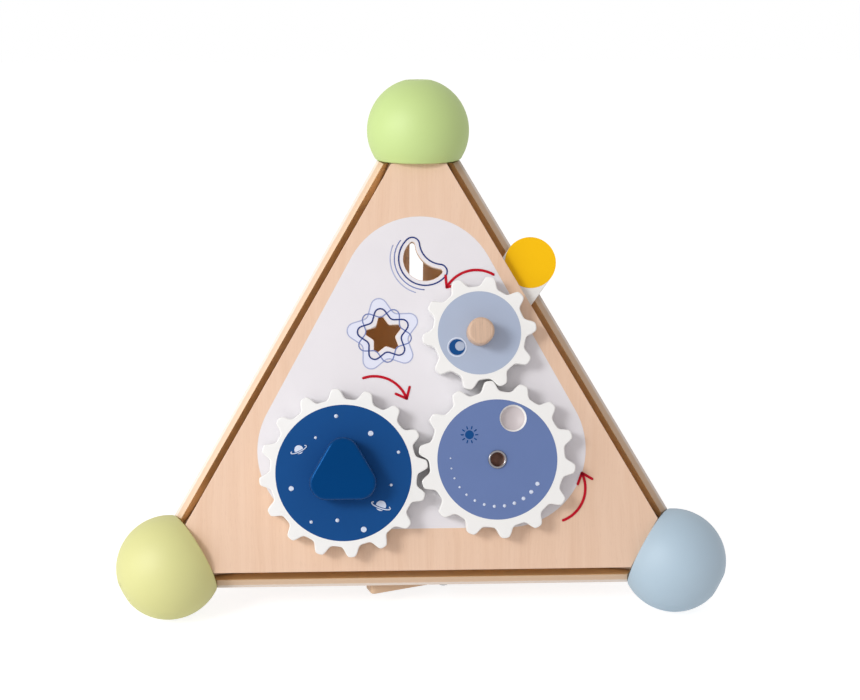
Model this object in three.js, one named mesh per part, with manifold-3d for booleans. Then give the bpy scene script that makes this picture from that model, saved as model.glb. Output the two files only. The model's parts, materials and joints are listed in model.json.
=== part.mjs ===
// A wooden gear pyramid: four plywood triangles held at their corners by four turned balls, with three
// meshing gears on the front panel, a pointer arm behind it and a latched hatch in the base.
// Millimetres, +Z up, standing on three balls, the gear panel facing -Y.
import * as THREE from "three";
import { mergeVertices } from "three/addons/utils/BufferGeometryUtils.js";
import Module from "manifold-3d";

const wasm = await Module();
wasm.setup();

// The regular tetrahedron that the panels' outer faces lie on
const pyramidEdge = 352.7;
const faceInradius = pyramidEdge / (2 * Math.sqrt(3));
const pyramidHeight = pyramidEdge * Math.sqrt(2 / 3);
// Sine and cosine of the angle between a corner's own axis and the faces that meet there
const cornerSine = 1 / 3;
const cornerCosine = Math.sqrt(8) / 3;

// Clearances
const touchGap = 0.3; // between pieces that are glued or screwed together
const runGap = 0.45; // radial, round a turning shaft
const overrun = 2; // how far a cutting tool runs past a face

// Panels
const panelThickness = 5;
const panelInset = 14.6; // from an ideal edge to the panel's own edge
const seatDistance = 53.4; // from an ideal corner to the flat where ball and panels meet

// Corner balls, blocks, screws and plugs
const ballRadius = 30;
const ballSeatDepth = 16.4; // from the ball's centre to its inner flat
const ballNoseDepth = 28.9; // from the ball's centre to its outer flat
const ballRimRadius = 1.6;
const plugRadius = 5;
const plugLength = 5;
const ballScrewRadius = 2.2;
const ballScrewHeadRadius = 4.4;
const ballScrewHeadHeight = 3.2;
const ballScrewBite = 20; // how far the screw runs into the corner block
const ballScrewTip = 3;
const blockLength = 26;
const blockRoundShare = 1.25; // outer radius of the block over the radius of the circle its sides touch

// Gears: outside radii and the depth by which two gears' teeth pass each other
const bigTeeth = 16;
const midTeeth = 14;
const smallTeeth = 10;
const bigOuterRadius = 47.5;
const midOuterRadius = 44.5;
const smallOuterRadius = 32.5;
const toothHeight = 6;
const bigMidDepth = 5.07;
const midSmallDepth = 4.73;
const gearThickness = 10;
// Half outline of a tooth, root to tip: share of the tooth height, half width as a share of the pitch
const toothShares = [
  [0, 0.4],
  [0.06, 0.32],
  [0.22, 0.26],
  [0.42, 0.22],
  [0.6, 0.19],
  [0.78, 0.155],
  [0.92, 0.12],
  [1, 0.06],
];
// Where the gears lie on the panel, from its middle: right and up
const bigGearRight = -44.5;
const bigGearUp = -30.9;
const bigMidAngle = 4.3; // degrees, from the big gear's axis to the middle one's
const midSmallAngle = 97.3;
const bigToothAngle = 5.2; // degrees, one tooth of the big gear
// By how much of a pitch the next gear's teeth lean on one flank instead of standing centred
const bigMidLeanShare = 0.08;
const midSmallLeanShare = -0.115;

// Finger dimple that cranks the middle gear
const dimpleRadius = 7.6;
const dimpleDepth = 5;
const dimpleReach = 24.9;
const dimpleAngle = 68.3;

// Axles and what sits on them
const axleRadius = 5;
const washerRadius = 9;
const washerThickness = 1.4;
const rearWasherThickness = 2;
const knobCornerRadius = 9.6;
const knobCornerReach = 10.4; // from the axis to the centre of a rounded corner
const knobHeight = 14;
const knobEdgeRadius = 1.6;
const knobSocketDepth = 8;
const pegHeadRadius = 7.5;
const pegHeadHeight = 15;
const pegEdgeRadius = 1.6;
const axleScrewRadius = 1.5;
const axleScrewLength = 11;
const axleScrewHeadRadius = 6.8;
const axleScrewHeadHeight = 2;
const rivetRadius = 4.5;
const rivetBoreRadius = 4;
const rivetBoreDepth = 9; // from the top of its front rim
const rivetRimRadius = 5.2;
const rivetRimThickness = 0.8;
const rivetWasherRadius = 8;
const rivetWasherThickness = 0.6;

// Pointer arm on the small gear's axle, behind the panel
const armReach = 52.9;
const armWidth = 30;
const armThickness = 3.5;
const armAngle = 53.4;

// Windows that the arm's round end passes behind
const starAngle = 179.7; // where it lies, seen from the small gear's axis
const starExtraReach = 1.3; // farther out than the arm's round end
const starTipRadius = 13; // before its corners are rounded
const starValleyRadius = 6.35;
const starTipRounding = 1.7;
const starValleyRounding = 1.8;
const starTurn = 99.4;
const starPoints = 5;
const moonAngle = 124.2;
const moonExtraReach = 0.3;
const moonRadius = 12.65;
const moonBiteRadius = 16.1;
const moonBiteReach = 14.2;
const moonTipRadius = 1.5;
const moonTurn = 45;

// Base hatch, hinged at its back edge
const hatchWidth = 84;
const hatchLength = 78;
const hatchBack = 34; // from the base's middle to the hatch's back edge
const hatchGap = 1;
const hatchCornerRadius = 3;
const hatchHoleCornerRadius = 2;
const hingeInset = 3;
const hingeGap = 0.4;
const hingePinRadius = 1;
const hingePinHalf = 7; // how far each pin runs into the hatch
const fingerHoleRadius = 9;
const fingerHoleInset = 16;

// Turn button that holds the hatch shut
const buttonAside = 12.8;
const buttonFromHatch = 17; // from the hatch's front edge to the pivot
const buttonReach = 47.7;
const buttonWidth = 11;
const buttonThickness = 8;
const buttonCornerRadius = 3;
const buttonAngle = -20;
const buttonScrewRadius = 1.7;
const buttonScrewHeadRadius = 4.2;
const buttonScrewHeadHeight = 2.4;
const buttonScrewBite = 4.4; // how far the screw runs into the panel
const buttonWasherRadius = 6;
const buttonWasherThickness = 0.9;

// Facets of round pieces
const ballFacets = 32;
const ballSteps = 12;
const roundFacets = 24;
const smallFacets = 16;
const cornerFacets = 4;
const mergeDistance = 2e-3;

// Levels on the gear panel: zero is its outer face and the gears stand above it
const gearBottom = 2 * touchGap + washerThickness;
const gearTop = gearBottom + gearThickness;
const rearWasherTop = -panelThickness - touchGap;
const rearWasherBottom = rearWasherTop - rearWasherThickness;
const armTop = rearWasherBottom - touchGap;
const armBottom = armTop - armThickness;

const radians = THREE.MathUtils.degToRad;
const degrees = THREE.MathUtils.radToDeg;

// Where a triangle's three corners point
const tipAngles = [90, 210, 330];

function polar(centre, reach, direction) {
  const angle = radians(direction);
  return new THREE.Vector2(centre.x + reach * Math.cos(angle), centre.y + reach * Math.sin(angle));
}

// Gears in mesh: each one's place and the angle of one of its teeth follow from the gear before it
function toothed(teeth, outerRadius, centre, toothAngle) {
  return { teeth, outerRadius, centre, toothAngle, rootRadius: outerRadius - toothHeight };
}

function inMesh(driver, teeth, outerRadius, depth, lineAngle, leanShare) {
  const reach = driver.outerRadius + outerRadius - depth;
  const offLine = (driver.toothAngle - lineAngle) / (360 / driver.teeth);
  const toothAngle = lineAngle + 180 + (360 / teeth) * (1 / 2 - offLine + leanShare);
  return toothed(teeth, outerRadius, polar(driver.centre, reach, lineAngle), toothAngle);
}

const bigPlace = new THREE.Vector2(bigGearRight, bigGearUp);
const bigGear = toothed(bigTeeth, bigOuterRadius, bigPlace, bigToothAngle);
const midGear = inMesh(bigGear, midTeeth, midOuterRadius, bigMidDepth, bigMidAngle, bigMidLeanShare);
const smallDepth = midSmallDepth;
const smallGear = inMesh(midGear, smallTeeth, smallOuterRadius, smallDepth, midSmallAngle, midSmallLeanShare);
const starCentre = polar(smallGear.centre, armReach + starExtraReach, starAngle);
const moonCentre = polar(smallGear.centre, armReach + moonExtraReach, moonAngle);

// Materials
function finish(color, roughness, metalness = 0) {
  return new THREE.MeshStandardMaterial({ color, roughness, metalness });
}
const plywood = () => finish(0xe3c09a, 0.6);
const bareWood = () => finish(0xd9b48c, 0.6);
const whitePaint = () => finish(0xf0f0f2, 0.45);
const bluePaint = () => finish(0x004078, 0.4);
const steel = () => finish(0xb9bcc0, 0.35, 0.9);
const nylon = () => finish(0xe8e6df, 0.5);
const ballPaint = {
  top: 0xbfe094,
  left: 0xdfe29a,
  right: 0xb4cbdc,
  back: 0xf2c8a0,
};

// Geometry helpers
function distinct(points) {
  const count = points.length;
  return points.filter((point, i) => point.distanceTo(points[(i + 1) % count]) > mergeDistance);
}

function flattened(shape, curveSegments) {
  const outlines = shape.extractPoints(curveSegments);
  const flat = new THREE.Shape(distinct(outlines.shape));
  for (const hole of outlines.holes) flat.holes.push(new THREE.Path(distinct(hole)));
  return flat;
}

function slab(shape, bottom, top, curveSegments = cornerFacets) {
  const options = { depth: top - bottom, bevelEnabled: false };
  return new THREE.ExtrudeGeometry(flattened(shape, curveSegments), options).translate(0, 0, bottom);
}

function turned(profile, facets = roundFacets) {
  const points = profile.map(([radius, level]) => new THREE.Vector2(radius, level));
  return new THREE.LatheGeometry(points, facets).rotateX(Math.PI / 2);
}

function ring(innerRadius, outerRadius, bottom, top, facets = roundFacets) {
  const profile = [
    [innerRadius, bottom],
    [outerRadius, bottom],
    [outerRadius, top],
    [innerRadius, top],
    [innerRadius, bottom],
  ];
  return turned(profile, facets);
}

function rod(radius, bottom, top, facets = roundFacets) {
  const geometry = new THREE.CylinderGeometry(radius, radius, top - bottom, facets);
  return geometry.rotateX(Math.PI / 2).translate(0, 0, (bottom + top) / 2);
}

function solidOf(geometry) {
  const plain = geometry.index ? geometry.toNonIndexed() : geometry.clone();
  plain.deleteAttribute("normal");
  plain.deleteAttribute("uv");
  const merged = mergeVertices(plain, mergeDistance);
  const triVerts = new Uint32Array(merged.index.array);
  const mesh = new wasm.Mesh({ numProp: 3, vertProperties: merged.attributes.position.array, triVerts });
  return new wasm.Manifold(mesh);
}

function geometryOf(solid) {
  const mesh = solid.getMesh();
  const geometry = new THREE.BufferGeometry();
  geometry.setAttribute("position", new THREE.BufferAttribute(mesh.vertProperties, 3));
  geometry.setIndex(new THREE.BufferAttribute(mesh.triVerts, 1));
  return geometry;
}

function cut(geometry, ...tools) {
  return geometryOf(tools.reduce((solid, tool) => solid.subtract(solidOf(tool)), solidOf(geometry)));
}

function common(a, b) {
  return geometryOf(solidOf(a).intersect(solidOf(b)));
}

// A closed outline through the corners, rounded off by arcs of the given radii in turn
function roundedOutline(path, corners, radii) {
  const count = corners.length;
  for (let i = 0; i < count; i++) {
    const corner = corners[i];
    const radius = radii[i % radii.length];
    const before = corners[(i + count - 1) % count].clone().sub(corner).normalize();
    const after = corners[(i + 1) % count].clone().sub(corner).normalize();
    const half = Math.acos(before.dot(after)) / 2;
    const middle = before.clone().add(after).setLength(radius / Math.sin(half));
    const reach = radius / Math.tan(half);
    const start = before.clone().multiplyScalar(reach).sub(middle).angle();
    const end = after.clone().multiplyScalar(reach).sub(middle).angle();
    const hollow = before.cross(after) > 0;
    path.absarc(corner.x + middle.x, corner.y + middle.y, radius, start, end, hollow);
  }
  path.closePath();
  return path;
}

function roundHole(centre, radius) {
  const corners = [];
  for (let i = 0; i < roundFacets; i++) corners.push(polar(centre, radius, (360 / roundFacets) * i));
  return new THREE.Path(corners);
}

// A group whose local +Z points out and whose local +Y leans towards up
function framed(origin, up, out) {
  const z = out.clone().normalize();
  const y = up.clone().addScaledVector(z, -up.dot(z)).normalize();
  const x = new THREE.Vector3().crossVectors(y, z);
  const group = new THREE.Group();
  group.quaternion.setFromRotationMatrix(new THREE.Matrix4().makeBasis(x, y, z));
  group.position.copy(origin);
  return group;
}

function add(group, name, geometry, material, x = 0, y = 0) {
  const mesh = new THREE.Mesh(geometry, material);
  mesh.name = name;
  mesh.position.set(x, y, 0);
  group.add(mesh);
}

// The ideal corners, with the middle of the base face at the origin
const corners = {
  top: new THREE.Vector3(0, 0, pyramidHeight),
  left: new THREE.Vector3(-pyramidEdge / 2, -faceInradius, 0),
  right: new THREE.Vector3(pyramidEdge / 2, -faceInradius, 0),
  back: new THREE.Vector3(0, 2 * faceInradius, 0),
};
const pyramidCentre = new THREE.Vector3(0, 0, pyramidHeight / 4);

function faceFrame(up, second, third) {
  const middle = new THREE.Vector3().add(up).add(second).add(third).divideScalar(3);
  return framed(middle, up.clone().sub(middle), middle.clone().sub(pyramidCentre));
}

function cornerFrame(corner, towards) {
  return framed(corner, towards.clone().sub(corner), corner.clone().sub(pyramidCentre));
}

// Panels: triangles with their tips cut off square against the balls' flats
function panelShape() {
  const inradius = faceInradius - panelInset;
  const cutReach = 2 * faceInradius - (seatDistance + touchGap) / cornerCosine;
  const halfCut = (2 * inradius - cutReach) * Math.tan(Math.PI / 6);
  const half = degrees(Math.atan2(halfCut, cutReach));
  const reach = Math.hypot(halfCut, cutReach);
  const outline = [];
  for (const tip of tipAngles) {
    for (const side of [-half, half]) outline.push(polar(new THREE.Vector2(), reach, tip + side));
  }
  return new THREE.Shape(outline);
}

function starHole() {
  const outline = [];
  for (let i = 0; i < 2 * starPoints; i++) {
    const radius = i % 2 ? starValleyRadius : starTipRadius;
    outline.push(polar(starCentre, radius, starTurn + (180 / starPoints) * i));
  }
  return roundedOutline(new THREE.Path(), outline, [starTipRounding, starValleyRounding]);
}

// A disc less a larger disc, its two tips rounded by small arcs that touch both
function moonHole() {
  const turn = radians(moonTurn);
  const bite = polar(moonCentre, moonBiteReach, moonTurn);
  const tipReach = moonRadius - moonTipRadius;
  const tipFromBite = moonBiteRadius + moonTipRadius;
  const squares = moonBiteReach ** 2 + tipReach ** 2 - tipFromBite ** 2;
  const spread = Math.acos(squares / (2 * moonBiteReach * tipReach));
  const biteSquares = moonBiteReach ** 2 + tipFromBite ** 2 - tipReach ** 2;
  const biteCosine = biteSquares / (2 * moonBiteReach * tipFromBite);
  const biteSpread = Math.acos(biteCosine);
  const path = new THREE.Path();
  path.absarc(moonCentre.x, moonCentre.y, moonRadius, turn + spread, turn - spread + 2 * Math.PI, false);
  const lowTip = polar(moonCentre, tipReach, moonTurn - degrees(spread));
  path.absarc(lowTip.x, lowTip.y, moonTipRadius, turn - spread, turn + biteSpread, false);
  path.absarc(bite.x, bite.y, moonBiteRadius, turn + Math.PI + biteSpread, turn + Math.PI - biteSpread, true);
  const highTip = polar(moonCentre, tipReach, moonTurn + degrees(spread));
  path.absarc(highTip.x, highTip.y, moonTipRadius, turn - biteSpread, turn + spread, false);
  return path;
}

function gearPanel() {
  const shape = panelShape();
  shape.holes.push(
    starHole(),
    moonHole(),
    roundHole(bigGear.centre, axleRadius + runGap),
    roundHole(midGear.centre, rivetRadius + touchGap),
    roundHole(smallGear.centre, axleRadius + runGap),
  );
  return slab(shape, -panelThickness, 0, 2 * cornerFacets);
}

function gearShape(gear) {
  const flanks = [...toothShares.map(([height, half]) => [height, -half]), ...[...toothShares].reverse()];
  const outline = [];
  for (let tooth = 0; tooth < gear.teeth; tooth++) {
    for (const [height, side] of flanks) {
      const radius = gear.rootRadius + height * toothHeight;
      outline.push(polar(new THREE.Vector2(), radius, gear.toothAngle + (tooth + side) * (360 / gear.teeth)));
    }
  }
  return new THREE.Shape(outline);
}

function gearBody(gear, boreRadius) {
  const shape = gearShape(gear);
  shape.holes.push(roundHole(new THREE.Vector2(), boreRadius));
  return slab(shape, gearBottom, gearTop);
}

function dimple() {
  const bowlRadius = (dimpleRadius ** 2 + dimpleDepth ** 2) / (2 * dimpleDepth);
  const place = polar(new THREE.Vector2(), dimpleReach, dimpleAngle);
  const bowl = new THREE.SphereGeometry(bowlRadius, roundFacets, roundFacets / 2);
  return bowl.rotateX(Math.PI / 2).translate(place.x, place.y, gearTop - dimpleDepth + bowlRadius);
}

// A rounded triangle: three corner circles joined by straight sides
function triangleShape(inset) {
  const shape = new THREE.Shape();
  for (const tip of tipAngles) {
    const centre = polar(new THREE.Vector2(), knobCornerReach, tip);
    const from = radians(tip) - Math.PI / 3;
    shape.absarc(centre.x, centre.y, knobCornerRadius - inset, from, from + (2 * Math.PI) / 3, false);
  }
  return shape;
}

function triangleKnob() {
  const options = {
    depth: knobHeight - 2 * knobEdgeRadius,
    bevelThickness: knobEdgeRadius,
    bevelSize: knobEdgeRadius,
    bevelSegments: 2,
  };
  const bottom = gearTop + touchGap;
  const shape = flattened(triangleShape(knobEdgeRadius), 2 * cornerFacets);
  const block = new THREE.ExtrudeGeometry(shape, options).translate(0, 0, bottom + knobEdgeRadius);
  return cut(block, rod(axleRadius + touchGap, bottom - overrun, bottom + knobSocketDepth));
}

function bigAxle() {
  const rear = rearWasherBottom - touchGap;
  const front = gearTop + knobSocketDepth;
  return turned([
    [0, rear + axleScrewLength + touchGap],
    [axleScrewRadius + touchGap, rear + axleScrewLength + touchGap],
    [axleScrewRadius + touchGap, rear],
    [axleRadius, rear],
    [axleRadius, front],
    [0, front],
  ]);
}

function axlePeg() {
  const rear = armBottom;
  const shoulder = gearTop + touchGap;
  const top = shoulder + pegHeadHeight;
  return turned([
    [0, rear + axleScrewLength + touchGap],
    [axleScrewRadius + touchGap, rear + axleScrewLength + touchGap],
    [axleScrewRadius + touchGap, rear],
    [axleRadius, rear],
    [axleRadius, shoulder],
    [pegHeadRadius, shoulder],
    [pegHeadRadius, top - pegEdgeRadius],
    [pegHeadRadius - pegEdgeRadius / 3, top - pegEdgeRadius / 3],
    [pegHeadRadius - pegEdgeRadius, top],
    [0, top],
  ]);
}

// A truss-head screw that enters from behind, its head's flat side against the level it holds
function axleScrew(level) {
  const under = level - touchGap;
  return turned([
    [0, under - axleScrewHeadHeight],
    [axleScrewHeadRadius * (2 / 3), under - axleScrewHeadHeight * (3 / 4)],
    [axleScrewHeadRadius, under],
    [axleScrewRadius, under],
    [axleScrewRadius, level + axleScrewLength],
    [0, level + axleScrewLength],
  ]);
}

function rivet() {
  const rear = rearWasherTop - rivetWasherThickness - touchGap;
  const front = gearTop + touchGap;
  const rimTop = front + rivetRimThickness;
  return turned([
    [0, rear - rivetRimThickness],
    [rivetRimRadius, rear - rivetRimThickness],
    [rivetRimRadius, rear],
    [rivetRadius, rear],
    [rivetRadius, front],
    [rivetRimRadius, front],
    [rivetRimRadius, front + rivetRimThickness / 2],
    [(rivetRimRadius + rivetBoreRadius) / 2, rimTop],
    [rivetBoreRadius, front + rivetRimThickness / 2],
    [rivetBoreRadius, rimTop - rivetBoreDepth],
    [0, rimTop - rivetBoreDepth],
  ]);
}

function pointerArm() {
  const turn = radians(armAngle);
  const end = polar(new THREE.Vector2(), armReach, armAngle);
  const shape = new THREE.Shape();
  shape.absarc(end.x, end.y, armWidth / 2, turn - Math.PI / 2, turn + Math.PI / 2, false);
  shape.absarc(0, 0, armWidth / 2, turn + Math.PI / 2, turn + (3 * Math.PI) / 2, false);
  shape.holes.push(roundHole(new THREE.Vector2(), axleRadius + touchGap));
  return slab(shape, armBottom, armTop, roundFacets / 2);
}

function gearAssembly() {
  const face = faceFrame(corners.top, corners.left, corners.right);
  add(face, "gear_panel", gearPanel(), plywood());

  const big = bigGear.centre;
  add(face, "big_gear", gearBody(bigGear, axleRadius + touchGap), whitePaint(), big.x, big.y);
  add(face, "triangle_knob", triangleKnob(), bluePaint(), big.x, big.y);
  add(face, "big_gear_axle", bigAxle(), bareWood(), big.x, big.y);
  add(face, "big_axle_screw", axleScrew(rearWasherBottom - touchGap), steel(), big.x, big.y);

  const mid = midGear.centre;
  const midBody = cut(gearBody(midGear, rivetRadius + runGap), dimple());
  add(face, "middle_gear", midBody, whitePaint(), mid.x, mid.y);
  add(face, "middle_gear_rivet", rivet(), steel(), mid.x, mid.y);

  const small = smallGear.centre;
  add(face, "small_gear", gearBody(smallGear, axleRadius + touchGap), whitePaint(), small.x, small.y);
  add(face, "small_gear_peg", axlePeg(), bareWood(), small.x, small.y);
  add(face, "pointer_arm", pointerArm(), whitePaint(), small.x, small.y);
  add(face, "pointer_arm_screw", axleScrew(armBottom), steel(), small.x, small.y);

  // Spacers in front of the panel and washers behind it
  for (const [name, gear, shaftRadius] of [
    ["big", bigGear, axleRadius],
    ["middle", midGear, rivetRadius],
    ["small", smallGear, axleRadius],
  ]) {
    const spacer = ring(shaftRadius + runGap, washerRadius, touchGap, touchGap + washerThickness);
    add(face, name + "_gear_spacer", spacer, nylon(), gear.centre.x, gear.centre.y);
  }
  for (const [name, gear] of [
    ["big", bigGear],
    ["small", smallGear],
  ]) {
    const washer = ring(axleRadius + runGap, washerRadius, rearWasherBottom, rearWasherTop);
    add(face, name + "_rear_washer", washer, nylon(), gear.centre.x, gear.centre.y);
  }
  const rivetWasher = ring(
    rivetRadius + touchGap,
    rivetWasherRadius,
    rearWasherTop - rivetWasherThickness,
    rearWasherTop,
  );
  add(face, "rivet_washer", rivetWasher, steel(), mid.x, mid.y);
  return face;
}

// Side panels are plain
function sideAssembly(name, second) {
  const face = faceFrame(corners.top, second, corners.back);
  add(face, name, slab(panelShape(), -panelThickness, 0), plywood());
  return face;
}

function rectangle(left, right, front, back) {
  return [
    new THREE.Vector2(left, front),
    new THREE.Vector2(right, front),
    new THREE.Vector2(right, back),
    new THREE.Vector2(left, back),
  ];
}

// The hatch turns about pins in its side edges, near its back edge
const hatchFront = hatchBack - hatchLength;
const hingePlace = hatchBack - hingeInset;
const hingeSwing = Math.hypot(hingeInset, panelThickness / 2);

// A rod along local X at the hinge line, for a pin or for the hole that takes it
function hingeRod(radius, from, to) {
  const geometry = new THREE.CylinderGeometry(radius, radius, to - from, smallFacets);
  return geometry.rotateZ(Math.PI / 2).translate((from + to) / 2, hingePlace, -panelThickness / 2);
}

function basePanel() {
  const shape = panelShape();
  const half = hatchWidth / 2 + hatchGap;
  const opening = rectangle(-half, half, hatchFront - hatchGap, hingePlace + hingeSwing + hingeGap);
  shape.holes.push(roundedOutline(new THREE.Path(), opening, [hatchHoleCornerRadius]));
  shape.holes.push(roundHole(buttonPivot, buttonHole));
  const pinReach = hatchWidth / 2 + hatchGap + hingePinHalf + touchGap;
  return cut(slab(shape, -panelThickness, 0), hingeRod(hingePinRadius + touchGap, -pinReach, pinReach));
}

function baseHatch() {
  const half = hatchWidth / 2;
  const sides = rectangle(-half, half, hatchFront, hatchBack);
  const shape = roundedOutline(new THREE.Shape(), sides, [hatchCornerRadius]);
  shape.holes.push(roundHole(new THREE.Vector2(0, hatchFront + fingerHoleInset), fingerHoleRadius));
  const boreRadius = hingePinRadius + touchGap;
  const inner = half - hingePinHalf - touchGap;
  const bores = [hingeRod(boreRadius, inner, half + overrun), hingeRod(boreRadius, -half - overrun, -inner)];
  return cut(slab(shape, -panelThickness, 0), ...bores);
}

const buttonPivot = new THREE.Vector2(-buttonAside, hatchFront - buttonFromHatch);
const buttonHole = buttonScrewRadius + touchGap;
const buttonBottom = touchGap + buttonThickness;

// Square at its free end, round at the pivot
function turnButton() {
  const half = buttonWidth / 2;
  const shape = new THREE.Shape();
  shape.absarc(0, 0, half, Math.PI / 2, (3 * Math.PI) / 2, false);
  shape.lineTo(buttonReach - buttonCornerRadius, -half);
  shape.quadraticCurveTo(buttonReach, -half, buttonReach, -half + buttonCornerRadius);
  shape.lineTo(buttonReach, half - buttonCornerRadius);
  shape.quadraticCurveTo(buttonReach, half, buttonReach - buttonCornerRadius, half);
  shape.holes.push(roundHole(new THREE.Vector2(), buttonScrewRadius + runGap));
  return slab(shape, touchGap, buttonBottom, 2 * cornerFacets).rotateZ(radians(buttonAngle));
}

function buttonScrew() {
  const under = buttonBottom + 2 * touchGap + buttonWasherThickness;
  return turned(
    [
      [0, -buttonScrewBite],
      [buttonScrewRadius, -buttonScrewBite],
      [buttonScrewRadius, under],
      [buttonScrewHeadRadius, under],
      [buttonScrewHeadRadius * (3 / 4), under + buttonScrewHeadHeight * (3 / 4)],
      [buttonScrewHeadRadius / 3, under + buttonScrewHeadHeight],
      [0, under + buttonScrewHeadHeight],
    ],
    smallFacets,
  );
}

function baseAssembly() {
  const face = faceFrame(corners.back, corners.left, corners.right);
  add(face, "base_panel", basePanel(), plywood());
  add(face, "base_hatch", baseHatch(), plywood());
  const inner = hatchWidth / 2 - hingePinHalf;
  const outer = hatchWidth / 2 + hatchGap + hingePinHalf;
  add(face, "hatch_pin_left", hingeRod(hingePinRadius, inner, outer), steel());
  add(face, "hatch_pin_right", hingeRod(hingePinRadius, -outer, -inner), steel());
  add(face, "turn_button", turnButton(), bareWood(), buttonPivot.x, buttonPivot.y);
  const washerBottom = buttonBottom + touchGap;
  const washerTop = washerBottom + buttonWasherThickness;
  const washer = ring(buttonScrewRadius + touchGap, buttonWasherRadius, washerBottom, washerTop);
  add(face, "turn_button_washer", washer, steel(), buttonPivot.x, buttonPivot.y);
  add(face, "turn_button_screw", buttonScrew(), steel(), buttonPivot.x, buttonPivot.y);
  return face;
}

// Corners: everything is placed along the corner's own axis, measured from the ball's centre
const ballCentre = ballSeatDepth - seatDistance;
const headSeat = ballNoseDepth - plugLength - 2 * touchGap - ballScrewHeadHeight;

function ball() {
  const rimLevel = ballSeatDepth - ballRimRadius;
  const rimReach = Math.sqrt((ballRadius - ballRimRadius) ** 2 - rimLevel ** 2);
  const rimAngle = Math.atan2(-rimLevel, rimReach);
  const noseAngle = Math.asin(ballNoseDepth / ballRadius);
  const boreRadius = ballScrewRadius + touchGap;
  const plugBore = plugRadius + touchGap;
  const profile = [[boreRadius, -ballSeatDepth]];
  for (let i = 0; i < cornerFacets; i++) {
    const angle = -Math.PI / 2 + (rimAngle + Math.PI / 2) * (i / cornerFacets);
    profile.push([rimReach + ballRimRadius * Math.cos(angle), -rimLevel + ballRimRadius * Math.sin(angle)]);
  }
  for (let i = 0; i <= ballSteps; i++) {
    const angle = rimAngle + (noseAngle - rimAngle) * (i / ballSteps);
    profile.push([ballRadius * Math.cos(angle), ballRadius * Math.sin(angle)]);
  }
  profile.push([plugBore, ballNoseDepth]);
  profile.push([plugBore, headSeat - touchGap]);
  profile.push([boreRadius, headSeat - touchGap]);
  profile.push([boreRadius, -ballSeatDepth]);
  return turned(profile, ballFacets);
}

function ballScrew() {
  const end = -ballSeatDepth - touchGap - ballScrewBite;
  return turned(
    [
      [0, end],
      [ballScrewRadius, end + ballScrewTip],
      [ballScrewRadius, headSeat],
      [ballScrewHeadRadius, headSeat],
      [ballScrewHeadRadius, headSeat + ballScrewHeadHeight],
      [0, headSeat + ballScrewHeadHeight],
    ],
    smallFacets,
  );
}

// A three-sided block whose sides lie against the panels' inner faces, rounded off between them
function cornerBlock() {
  const near = seatDistance + touchGap;
  const far = seatDistance + blockLength;
  const sideReach = (distance) => (distance * cornerSine - panelThickness - touchGap) / cornerCosine;
  const wedge = new THREE.CylinderGeometry(2 * sideReach(near), 2 * sideReach(far), far - near, 3);
  const nearRadius = blockRoundShare * sideReach(near);
  const farRadius = blockRoundShare * sideReach(far);
  const cone = new THREE.CylinderGeometry(nearRadius, farRadius, far - near, roundFacets);
  const middle = ballSeatDepth + (near + far) / 2 - seatDistance;
  const shaped = common(wedge, cone).rotateX(-Math.PI / 2).rotateY(Math.PI).translate(0, 0, -middle);
  const boreRadius = ballScrewRadius + touchGap;
  const bottom = ballSeatDepth - far + seatDistance;
  return cut(shaped, rod(boreRadius, -2 * ballSeatDepth - blockLength, bottom, smallFacets));
}

function cornerAssembly(name, corner, towards) {
  const frame = cornerFrame(corner, towards);
  const along = new THREE.Group();
  along.position.z = ballCentre;
  frame.add(along);
  add(along, name + "_ball", ball(), finish(ballPaint[name], 0.5));
  add(along, name + "_corner_block", cornerBlock(), bareWood());
  add(along, name + "_ball_screw", ballScrew(), steel());
  const plug = rod(plugRadius, ballNoseDepth - plugLength, ballNoseDepth);
  add(along, name + "_ball_plug", plug, finish(ballPaint[name], 0.5));
  return frame;
}

const pyramid = new THREE.Group();
pyramid.add(gearAssembly());
pyramid.add(sideAssembly("left_panel", corners.left));
pyramid.add(sideAssembly("right_panel", corners.right));
pyramid.add(baseAssembly());
pyramid.add(cornerAssembly("top", corners.top, corners.back));
pyramid.add(cornerAssembly("left", corners.left, corners.top));
pyramid.add(cornerAssembly("right", corners.right, corners.top));
pyramid.add(cornerAssembly("back", corners.back, corners.top));

// The origin is the middle of the footprint, on the floor
const bounds = new THREE.Box3().setFromObject(pyramid, true);
const middle = bounds.getCenter(new THREE.Vector3());
pyramid.position.set(-middle.x, -middle.y, -bounds.min.z);

const model = new THREE.Group();
model.add(pyramid);
export default model;
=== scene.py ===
"""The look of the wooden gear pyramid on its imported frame: fine surfaces, materials, prints and light."""

import json
import math

import bmesh
import bpy
from mathutils import Matrix, Vector
from mathutils.geometry import convex_hull_2d, tessellate_polygon

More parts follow.
